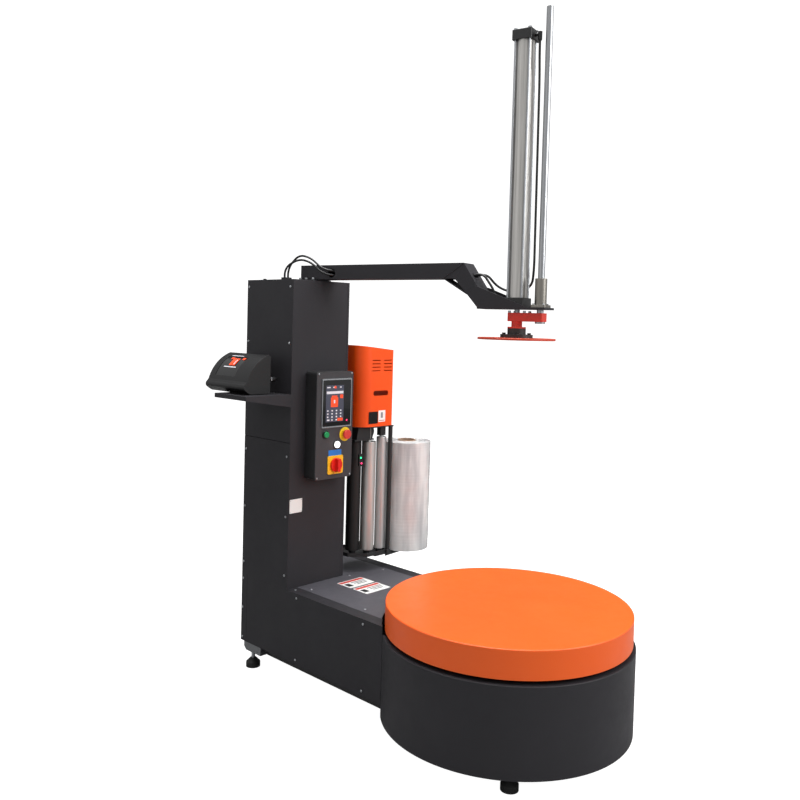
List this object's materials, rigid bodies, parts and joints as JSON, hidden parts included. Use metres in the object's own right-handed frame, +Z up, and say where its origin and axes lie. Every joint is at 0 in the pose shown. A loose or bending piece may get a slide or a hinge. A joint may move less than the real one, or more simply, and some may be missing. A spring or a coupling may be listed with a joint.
{
  "type": "turntable pallet wrapper",
  "caption": "Turntable stretch wrapper with a film carriage on a closed column, a weighing turntable, a touch panel and a pneumatic top press on an arm.",
  "frame": {"origin": "centre of the whole machine's bounding box, on the floor", "axes": "+Z up; +Y from the turntable towards the column; +X towards the film carriage's side"},
  "size_m": [1.055, 1.6649, 2.686],
  "materials": {
    "anthracite_paint": "powder coat, fine texture",
    "black_paint": "powder coat, satin",
    "orange_paint": "powder coat, satin",
    "red_paint": "gloss paint",
    "bare_steel": "brushed",
    "chromed_steel": "ground and chromed",
    "aluminium": "anodised, satin",
    "black_anodised": "anodised black, satin",
    "stainless": "brushed stainless",
    "pad_rubber": "matt",
    "belt_rubber": "matt",
    "roller_rubber": "matt, ground",
    "black_plastic": "matt",
    "grey_plastic": "matt",
    "white_plastic": "translucent, gloss",
    "green_plastic": "gloss",
    "red_plastic": "gloss",
    "yellow_plastic": "satin",
    "hose_plastic": "satin",
    "screen_glass": "gloss",
    "film": "clear stretch film, wound",
    "cardboard": "plain"
  },
  "bodies": {
    "base": {"base_frame": "black_paint", "rear_beam": "bare_steel", "foot_pads": "pad_rubber", "foot_studs": "bare_steel", "drum_skirt": "anthracite_paint", "base_side_panels": "anthracite_paint", "base_top_plate": "anthracite_paint", "rear_covers": "anthracite_paint", "load_cells": "aluminium", "weigh_platform": "bare_steel", "slew_ring": "bare_steel", "table_gearmotor": "aluminium", "drive_belt": "belt_rubber", "column_side_covers": "anthracite_paint", "column_front_panel": "anthracite_paint", "column_right_panel": "anthracite_paint", "column_top_plate": "anthracite_paint", "mast_rails": "bare_steel", "lift_belt": "belt_rubber", "lift_gearmotor": "aluminium", "control_gear": "grey_plastic", "panel_box": "black_paint", "panel_door": "black_paint", "touch_screen": "stainless", "switch_plates": "yellow_plastic", "terminal_shelf": "black_paint", "terminal_housing": "black_plastic", "terminal_screen": "screen_glass", "arm_beam": "anthracite_paint", "arm_leg": "anthracite_paint", "cylinder_barrel": "aluminium", "cylinder_caps": "black_anodised", "tie_rods": "bare_steel", "guide_bushing": "bare_steel", "air_hoses": "hose_plastic", "visible_fasteners": "bare_steel"},
    "turntable": {"turntable_disc": "orange_paint", "table_hub": "aluminium"},
    "drive_pulley": {"drive_pulley": "aluminium"},
    "carriage": {"trolley": "bare_steel", "slide_shoes": "black_plastic", "carriage_frame": "black_paint", "carriage_cover": "orange_paint", "roller_drive": "aluminium", "roll_holder": "black_paint"},
    "lift_pulley_top": {"lift_pulley_top": "aluminium"},
    "lift_pulley_bottom": {"lift_pulley_bottom": "aluminium"},
    "film": {"film_roll": "film", "film_core": "cardboard"},
    "rubber_roller": {"rubber_roller": "roller_rubber"},
    "steel_roller": {"steel_roller": "stainless"},
    "idler_roller": {"idler_roller": "aluminium"},
    "press_ram": {"piston_rod": "chromed_steel", "guide_rod": "chromed_steel", "coupling_bar": "red_paint"},
    "press_plate": {"press_plate": "red_paint"},
    "estop_button": {"estop_button": "red_plastic"},
    "start_button": {"start_button": "green_plastic"},
    "lamp_button": {"lamp_button": "white_plastic"},
    "main_switch": {"main_switch": "red_plastic"}
  },
  "joints": [
    {"name": "turntable_spin", "type": "hinge", "parent": "base", "child": "turntable", "pos_m": [0.0575, -0.3625, 0.493], "axis": [0, 0, 1], "continuous": true},
    {"name": "drive_pulley_spin", "type": "hinge", "parent": "base", "child": "drive_pulley", "pos_m": [0.3475, -0.3625, 0.304], "axis": [0, 0, 1], "continuous": true},
    {"name": "carriage_lift", "type": "slide", "parent": "base", "child": "carriage", "axis": [0, 0, 1], "range_m": [-0.05, 0.52]},
    {"name": "lift_pulley_bottom_spin", "type": "hinge", "parent": "base", "child": "lift_pulley_bottom", "pos_m": [-0.1325, 0.6455, 0.47], "axis": [0, -1, 0], "range_deg": [-97.5, 995.1]},
    {"name": "lift_pulley_top_spin", "type": "hinge", "parent": "base", "child": "lift_pulley_top", "pos_m": [-0.1325, 0.6455, 1.655], "axis": [0, -1, 0], "range_deg": [-97.5, 995.1]},
    {"name": "film_roll_spin", "type": "hinge", "parent": "carriage", "child": "film", "pos_m": [0.3875, 0.4975, 0.478], "axis": [0, 0, 1], "continuous": true},
    {"name": "rubber_roller_spin", "type": "hinge", "parent": "carriage", "child": "rubber_roller", "pos_m": [0.1025, 0.5525, 0.5], "axis": [0, 0, 1], "continuous": true},
    {"name": "steel_roller_spin", "type": "hinge", "parent": "carriage", "child": "steel_roller", "pos_m": [0.1575, 0.5155, 0.5], "axis": [0, 0, 1], "continuous": true},
    {"name": "idler_roller_spin", "type": "hinge", "parent": "carriage", "child": "idler_roller", "pos_m": [0.2175, 0.4965, 0.5], "axis": [0, 0, 1], "continuous": true},
    {"name": "press_stroke", "type": "slide", "parent": "base", "child": "press_ram", "axis": [0, 0, -1], "range_m": [0, 0.9]},
    {"name": "press_plate_spin", "type": "hinge", "parent": "press_ram", "child": "press_plate", "pos_m": [0.0575, -0.3625, 1.481], "axis": [0, 0, 1], "continuous": true},
    {"name": "estop_push", "type": "slide", "parent": "base", "child": "estop_button", "axis": [0, 1, 0], "range_m": [0, 0.006]},
    {"name": "start_push", "type": "slide", "parent": "base", "child": "start_button", "axis": [0, 1, 0], "range_m": [0, 0.004], "stiffness_N_per_m": 500, "springref_m": -0.001},
    {"name": "lamp_push", "type": "slide", "parent": "base", "child": "lamp_button", "axis": [0, 1, 0], "range_m": [0, 0.004], "stiffness_N_per_m": 500, "springref_m": -0.001},
    {"name": "main_switch_turn", "type": "hinge", "parent": "base", "child": "main_switch", "pos_m": [-0.1165, 0.4355, 0.925], "axis": [0, 1, 0], "range_deg": [0, 90]}
  ],
  "couplings": [
    {"joint": "drive_pulley_spin", "follows": "turntable_spin", "ratio": 5.0286},
    {"joint": "lift_pulley_bottom_spin", "follows": "carriage_lift", "rad_per_m": 33.333},
    {"joint": "lift_pulley_top_spin", "follows": "carriage_lift", "rad_per_m": 33.333},
    {"joint": "steel_roller_spin", "follows": "rubber_roller_spin", "ratio": -2}
  ]
}
